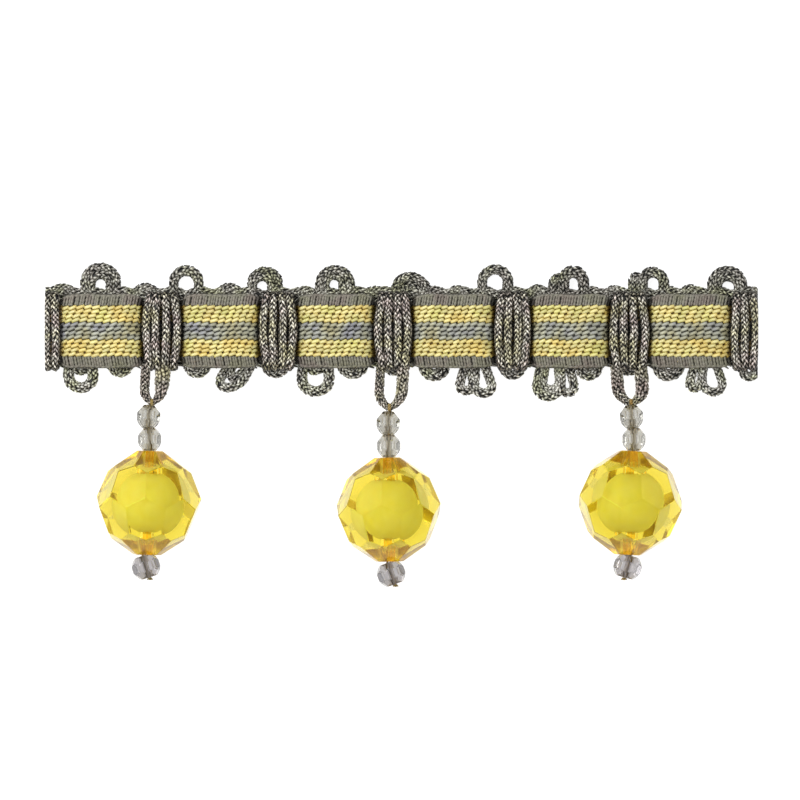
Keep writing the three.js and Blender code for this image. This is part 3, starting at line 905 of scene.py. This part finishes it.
def selvedge_rib(heap, side, x):
    """A fine rib that crosses a selvedge and turns down round the ribbon's edge."""
    x = x + chance.normal(0, RIB_STRAY["place"])
    along, across = np.full(RIB["points"], x), side * np.linspace(RIB["from"], RIB["to"], RIB["points"])
    y, _ = ribbon_place(along, across)
    z = yarn_top(along, across) - RIB["radius"]
    slant = x + RIB["slant"] * np.linspace(-1, 1, RIB["points"]) + chance.normal(0, RIB_STRAY["slant"])
    over = np.column_stack([slant, y, z])
    turned = over[-1] + np.array(RIB_TURN) * (1, side, 1)
    walk = even_walk(smooth_line(np.vstack([over, turned]), RIB["parts"]), RIB["step"])
    lumps = np.abs(np.sin(np.pi * (walk[0] / RIB["lump"] + chance.uniform(0, 1))))
    radius = RIB["radius"] * (1 - RIB["dent"] * (1 - lumps)) * chance.normal(1, RIB_STRAY["size"])
    points, faces = tube(walk, radius, RIB["sides"])
    outward = (points - walk[1][:, None]) / RIB["radius"]
    # Painted light: each rib is lighter on its top and on its outer side, and in painted shade right beside
    # the bars.
    crest = np.clip(0.5 + 0.5 * (outward[..., 2] + side * outward[..., 1] * RIB["edge_light"]), 0, 1)
    heap.add(points, faces, crest=crest.ravel() * daylight(x), tint=chance.uniform(0, 1))


def ribbed_selvedges():
    """The ribs of both selvedges, each with an edge row along it."""
    heap = Heap()
    for side in SIDES.values():
        for x in np.arange(-TRIM_HALF, TRIM_HALF, RIB["pitch"]):
            selvedge_rib(heap, side, x)
        float_row(heap, side * EDGE_ROW["y"], EDGE_ROW, EDGE_ROW["lead"])
    return heap.piece("ribbon_selvedges", SELVEDGE, "ribbon")


# The bead drops: faceted beads, a milky core in each amber one, and a twisted thread.

AMBER_BEAD = {
    "length": 18.7,
    "bore": 1.25,
    "floor": 8.8,
    "bevel": 0.14,
    "blush": 0.7,
    "blush_share": 0.6,
    "rows": [(54, 8.9, 8, 0.5), (21, 8.48, 8, 0), (-21, 8.48, 8, 0.5), (-54, 8.9, 8, 0)],
}
CLEAR_BEAD = {
    "length": 4.05,
    "bore": 0.55,
    "floor": None,
    "bevel": 0.1,
    "blush": 0.8,
    "blush_share": 0.5,
    "rows": [(38, 2.08, 7, 0.5), (0, 1.95, 7, 0), (-38, 2.08, 7, 0.5)],
}
STOP_BEAD = CLEAR_BEAD | {"length": 4.1, "rows": [(38, 2.4, 7, 0.5), (0, 2.35, 7, 0), (-38, 2.4, 7, 0.5)]}
BORE = {"points": 20, "rib": 0.1, "ridge": 0.15, "room": 1.02}
FACET_EDGE = {"flat": math.radians(2), "parts": 2, "profile": 0.5}
TINY = 1e-6
ORDER_DIGITS = 4
CORE_BALL = {"radius": 4.6, "bore": 0.8, "sides": 40, "rings": 26}


def facet_planes(bead, turn):
    """Each facet's outward way and its distance from the middle, with the flat ends and the resting spot."""
    for latitude, distance, count, offset in bead["rows"]:
        up = math.radians(latitude)
        for k in range(count):
            facing = math.radians(360 * (k + offset) / count + turn)
            yield (math.cos(up) * math.sin(facing), math.sin(up), math.cos(up) * math.cos(facing)), distance
    yield (0, 1, 0), bead["length"] / 2
    yield (0, -1, 0), bead["length"] / 2
    if bead["floor"]:
        yield (0, 0, -1), bead["floor"]


def turn_of(vertex):
    """How far round the bead's axis a corner lies."""
    return math.atan2(vertex.co.x, vertex.co.z) % (2 * math.pi)


def collar(shape, rim, ring):
    """Fills a bead's flat end between its outer corners and the bore, going round both at once."""
    outer, inner = 0, 0
    full = 2 * math.pi
    while outer < len(rim) or inner < len(ring):
        here, there = rim[outer % len(rim)], ring[inner % len(ring)]
        next_here, next_there = rim[(outer + 1) % len(rim)], ring[(inner + 1) % len(ring)]
        turn_here = turn_of(next_here) + full * ((outer + 1) // len(rim))
        turn_there = turn_of(next_there) + full * ((inner + 1) // len(ring))
        if inner == len(ring) or (outer < len(rim) and turn_here <= turn_there):
            shape.faces.new((here, next_here, there))
            outer += 1
        else:
            shape.faces.new((here, next_there, there))
            inner += 1


def from_lowest(corners):
    """A face's corners in the same turn, from the lowest number on, so that each run lists them alike."""
    first = corners.index(min(corners))
    return corners[first:] + corners[:first]


def faceted_bead(bead, turn):
    """A bead's points and faces about its middle, along Y: softened cut facets and a ribbed bore."""
    planes = list(facet_planes(bead, turn))
    ways, distances = (np.array(column, float) for column in zip(*planes))
    triples = np.array(list(itertools.combinations(range(len(planes)), 3)))
    triples = triples[np.abs(np.linalg.det(ways[triples])) > TINY]
    corners = np.linalg.solve(ways[triples], distances[triples][..., None])[..., 0]
    corners = corners[(corners @ ways.T <= distances + TINY).all(1)]
    shape = bmesh.new()
    for corner in corners:
        shape.verts.new(corner)
    bmesh.ops.remove_doubles(shape, verts=shape.verts[:], dist=bead["bevel"] / 2)
    bmesh.ops.convex_hull(shape, input=shape.verts[:])
    bmesh.ops.dissolve_limit(
        shape,
        angle_limit=FACET_EDGE["flat"],
        verts=shape.verts[:],
        edges=shape.edges[:],
    )
    bmesh.ops.bevel(
        shape,
        geom=shape.edges[:],
        offset=bead["bevel"],
        segments=FACET_EDGE["parts"],
        profile=FACET_EDGE["profile"],
        affect="EDGES",
    )
    shape.normal_update()
    rings = []
    for end in (1, -1):
        lid = max(shape.faces, key=lambda face: end * face.normal.y)
        rim = sorted(lid.verts, key=turn_of)
        bmesh.ops.delete(shape, geom=[lid], context="FACES_ONLY")
        ring = []
        for k in range(BORE["points"]):
            angle = 2 * math.pi * k / BORE["points"]
            reach = bead["bore"] * (1 - BORE["rib"] * (k % 2))
            corner = (reach * math.sin(angle), end * bead["length"] / 2, reach * math.cos(angle))
            ring.append(shape.verts.new(corner))
        collar(shape, rim, sorted(ring, key=turn_of))
        rings.append(ring)
    for k in range(BORE["points"]):
        shape.faces.new((rings[0][k - 1], rings[0][k], rings[1][k], rings[1][k - 1]))
    bmesh.ops.recalc_face_normals(shape, faces=shape.faces[:])
    corners = sorted(shape.verts, key=lambda vertex: [round(along, ORDER_DIGITS) for along in vertex.co])
    for index, vertex in enumerate(corners):
        vertex.index = index
    points = np.array([vertex.co for vertex in corners])
    faces = sorted(from_lowest([vertex.index for vertex in face.verts]) for face in shape.faces)
    shape.free()
    return points, faces


def bead_axes(down):
    """The ways of a bead's X, Y and Z when its Y runs up the thread."""
    up = -down
    right = unit(np.cross(up, (0, 0, 1)))
    return np.stack([right, up, np.cross(right, up)])


def bead_piece(name, bead, place, down, material, slot, node, turn):
    """A bead on the thread, with marks for the blush of its ends and bore and for their frost."""
    points, faces = faceted_bead(bead, turn)
    from_axis = np.hypot(points[:, 0], points[:, 2])
    inside = from_axis < bead["bore"] * BORE["room"]
    groove = from_axis > bead["bore"] * (1 - BORE["rib"] / 2)
    out = np.abs(points[:, 1]) / (bead["length"] / 2)
    end = np.clip((out - bead["blush"]) / (1 - bead["blush"]), 0, 1) * bead["blush_share"]
    blush = np.where(inside, np.where(groove, 1.0, BORE["ridge"]), end)
    marks = {"blush": blush, "frost": (inside | (out > 1 - TINY)).astype(float)}
    placed = points @ bead_axes(down) + place
    return piece(name, placed, faces, marks, material, slot, [node], smooth=False)


def core_piece(name, place, down, node):
    """The core: a ball turned round the bead's axis, with the thread's hole through it."""
    radius, rings, sides = CORE_BALL["radius"], CORE_BALL["rings"], CORE_BALL["sides"]
    lowest = math.asin(CORE_BALL["bore"] / radius)
    swing = np.linspace(lowest, math.pi - lowest, rings)[:, None]
    angles = 2 * np.pi * np.arange(sides) / sides
    reach, height = radius * np.sin(swing), np.repeat(radius * np.cos(swing), sides, 1)
    points = np.stack([reach * np.sin(angles), height, reach * np.cos(angles)], -1)
    index = np.arange(rings * sides).reshape(rings, sides)
    below, beside = np.roll(index, -1, 0), np.roll(index, -1, 1)
    faces = np.stack([index, below, np.roll(below, -1, 1), beside], -1)
    heap = Heap()
    heap.add(points @ bead_axes(down) + place, faces)
    return heap.piece(name, CORE, "core", node)


THREAD_YARN = {"helix": 0.11, "ply": 0.13, "twist": 1.0, "sides": 6, "step": 0.12}
THREAD_YARN |= {"light": 0.75, "tint": (0.3, 0.7)}
THREAD_WRAP = {"turns": 2, "points": 24, "pitch": 0.16}
THREAD_KNOT = {"reach": 0.24, "radius": 0.12, "turns": 3, "stretch": (1.4, 1, 1)}


def twisted_thread(heap, line):
    """Two plies of thread twisted round a line."""
    far, places, _, outs, across = even_walk(line, THREAD_YARN["step"])
    spin = (2 * np.pi * far / THREAD_YARN["twist"])[:, None]
    for ply in (0, math.pi):
        round_line = places + THREAD_YARN["helix"] * (np.cos(spin + ply) * outs + np.sin(spin + ply) * across)
        walk = even_walk(round_line, THREAD_YARN["step"])
        points, faces = tube(walk, THREAD_YARN["ply"], THREAD_YARN["sides"])
        heap.add(points, faces, crest=THREAD_YARN["light"], tint=chance.uniform(*THREAD_YARN["tint"]))


def wrap_line(tip, radius, turns):
    """Turns of thread wound round the drop loop's tip, which lies along X there."""
    angle = np.linspace(0, 2 * np.pi * turns, THREAD_WRAP["points"] * turns)
    sway = THREAD_WRAP["pitch"] * turns / 2 * np.linspace(-1, 1, len(angle))
    return tip + np.column_stack([sway, radius * -np.cos(angle), radius * np.sin(angle)])


def bead_places(drop):
    """Where a drop's beads lie, from the loop down."""
    return (np.array(drop[key], float) for key in ("upper", "lower", "amber", "stop"))


def drop_thread(name, drop, tip, down, stop_lie):
    """A drop's thread: wound round the long loop's tip, run through the beads and knotted under the last."""
    upper, lower, amber, stop = bead_places(drop)
    wrapped = min(drop["thick"]) + THREAD_YARN["ply"]
    reach, stop_reach = AMBER_BEAD["length"] / 2, STOP_BEAD["length"] / 2
    end = stop + stop_lie * (stop_reach + THREAD_KNOT["reach"])
    places = [
        tip + unit(upper - tip) * wrapped,
        upper,
        lower,
        amber - down * reach,
        amber + down * reach / 2,
        stop - stop_lie * stop_reach,
        end,
    ]
    knot = wrap_line(np.zeros(3), THREAD_KNOT["radius"], THREAD_KNOT["turns"]) * THREAD_KNOT["stretch"]
    heap = Heap()
    for line in (wrap_line(tip, wrapped, THREAD_WRAP["turns"]), smooth_line(places), knot + end):
        twisted_thread(heap, line)
    return heap.piece(f"twisted_{name}_thread", THREAD, "thread", f"{name}_thread")


def bead_drop(number, drop):
    """A drop: its thread, two small beads, the amber bead with its core, and the stop bead."""
    upper, lower, amber, stop = bead_places(drop)
    down = unit((stop - lower) * (1, 1, 0))
    tilt = math.radians(drop["stop_tilt"])
    stop_lie = np.array([math.sin(tilt), -math.cos(tilt), 0])
    loop = drop_loop_line(drop["loop"])
    tip = loop[len(loop) // 2]
    name = f"drop_{number}"
    drop_thread(name, drop, tip, down, stop_lie)
    for key, bead, place, way, material, slot, turn in (
        ("upper", CLEAR_BEAD, upper, unit(lower - tip), CLEAR, "clear_bead", 0),
        ("lower", CLEAR_BEAD, lower, unit(amber - upper), CLEAR, "clear_bead", 0),
        ("stop", STOP_BEAD, stop, stop_lie, SMOKY, "clear_bead", 0),
        ("amber", AMBER_BEAD, amber, down, AMBER, "amber_bead", drop["amber_turn"]),
    ):
        bead_piece(f"faceted_{name}_{key}", bead, place, way, material, slot, f"{name}_bead_{key}", turn)
    core_piece(f"milky_{name}_core", amber, down, f"{name}_core")


# The trim, put together: cord, ribbon and drops.

top_edge = knitted_edge("top", TOP_LOOPS + TOP_BUMPS)
bottom_edge = knitted_edge("bottom", BOTTOM_LOOPS + BOTTOM_BUMPS)
for bar_number, bar_row in enumerate(BARS, 1):
    knitted_bar(bar_number, bar_row)

ground, ribbon_run = ground_sheet()
gold_rows = float_rows("ribbon_gold_rows", GOLD_ROW, STRIPES["gold"])
grey_rows = float_rows("ribbon_grey_rows", GREY_ROW, STRIPES["grey"])
selvedges = ribbed_selvedges()
ribbon_run * MM
for drop_number, drop_row in enumerate(DROPS, 1):
    bead_drop(drop_number, drop_row)


# The stage: a pale floor, soft light and a camera straight above.

# The floor, the softboxes and the view's near and far ends are in metres.
VIEW = {"across": 144.0, "x": -0.27, "y": -12.42, "level": 4.0, "lens": 600.0, "sensor": 36.0}
VIEW |= {"near": 0.01, "far": 20}
FLOOR = {"half": 1.5, "white": 0.2, "grey": 0.5, "glow": 0.88, "roughness": 0.8}
FLOOR_GRAIN = {"size": 30.0, "detail": 2}
FLOOR_STEPS = [(0.3, dye(156, 156, 156)), (0.7, dye(162, 162, 162))]
FAR_FLOOR = dye(118, 116, 112)
STUDIO = {"zenith": 0.85, "horizon": 0.3, "full_at": 0.7}
SOFTBOXES = [
    {"name": "key softbox", "bearing": -68, "height": 58, "distance": 0.7, "size": 0.3, "radiance": 8.0},
    {"name": "left softbox", "bearing": -52, "height": 18, "distance": 0.6, "size": 0.4, "radiance": 1.9},
    {"name": "right softbox", "bearing": 55, "height": 11, "distance": 0.6, "size": 0.3, "radiance": 1.2},
]


def floor():
    """A pale floor that fades to grey far round the trim."""
    half = FLOOR["half"]
    mesh = bpy.data.meshes.new("floor")
    corners = [(-half, -half, 0), (half, -half, 0), (half, half, 0), (-half, half, 0)]
    mesh.from_pydata(corners, [], [(0, 1, 2, 3)])
    finish = Finish(bpy.data.materials.new("pale floor"))
    away = finish.node("ShaderNodeVectorMath", {"operation": "LENGTH"}, {0: finish.place()}, out="Value")
    fade = (away - FLOOR["white"]) * (1 / (FLOOR["grey"] - FLOOR["white"]))
    grain = finish.noise(FLOOR_GRAIN["size"], FLOOR_GRAIN["detail"])
    pale = finish.ramp(grain, *FLOOR_STEPS)
    mesh.materials.append(
        finish.surface(
            base_color=finish.mix(fade, pale, FAR_FLOOR),
            roughness=FLOOR["roughness"],
            specular_ior_level=0.0,
            emission_color=finish.mix(fade, WHITE, BLACK),
            emission_strength=FLOOR["glow"],
        )
    )
    made = bpy.data.objects.new("floor", mesh)
    bpy.context.scene.collection.objects.link(made)


def softbox(name, bearing, height, distance, size, radiance):
    """A soft square light that faces the trim. Bearing turns from +Y towards +X, in degrees."""
    light = bpy.data.lights.new(name, "AREA")
    light.shape, light.size, light.energy = "SQUARE", size, radiance * math.pi * size**2
    made = bpy.data.objects.new(name, light)
    turn, lift = math.radians(bearing), math.radians(height)
    way = Vector((math.sin(turn) * math.cos(lift), math.cos(turn) * math.cos(lift), math.sin(lift)))
    made.location = way * distance
    made.rotation_euler = way.to_track_quat("Z", "Y").to_euler()
    bpy.context.scene.collection.objects.link(made)


def studio():
    """A white studio that is darker round the horizon."""
    sky = Finish(bpy.data.worlds.new("white studio"))
    place = sky.node("ShaderNodeTexCoord", out="Generated")
    height = sky.node("ShaderNodeSeparateXYZ", {}, {0: place}, out="Z")
    dim = STUDIO["horizon"] / STUDIO["zenith"]
    shade = sky.ramp(height, (0.0, (dim, dim, dim, 1)), (STUDIO["full_at"], WHITE))
    backdrop = sky.node("ShaderNodeBackground", {}, {"Color": shade, "Strength": STUDIO["zenith"]})
    sky.node("ShaderNodeOutputWorld", {}, {"Surface": backdrop})
    bpy.context.scene.world = sky.owner


def camera():
    """A long lens straight above the trim."""
    lens = bpy.data.cameras.new("camera")
    lens.lens, lens.sensor_width = VIEW["lens"], VIEW["sensor"]
    lens.clip_start, lens.clip_end = VIEW["near"], VIEW["far"]
    made = bpy.data.objects.new("camera", lens)
    away = VIEW["across"] * VIEW["lens"] / VIEW["sensor"] + VIEW["level"]
    made.location = (VIEW["x"] * MM, (HEADING_Y + VIEW["y"]) * MM, away * MM)
    bpy.context.scene.collection.objects.link(made)
    bpy.context.scene.camera = made


floor()
studio()
for box in SOFTBOXES:
    softbox(**box)
camera()
bpy.context.scene.view_settings.view_transform = "Standard"
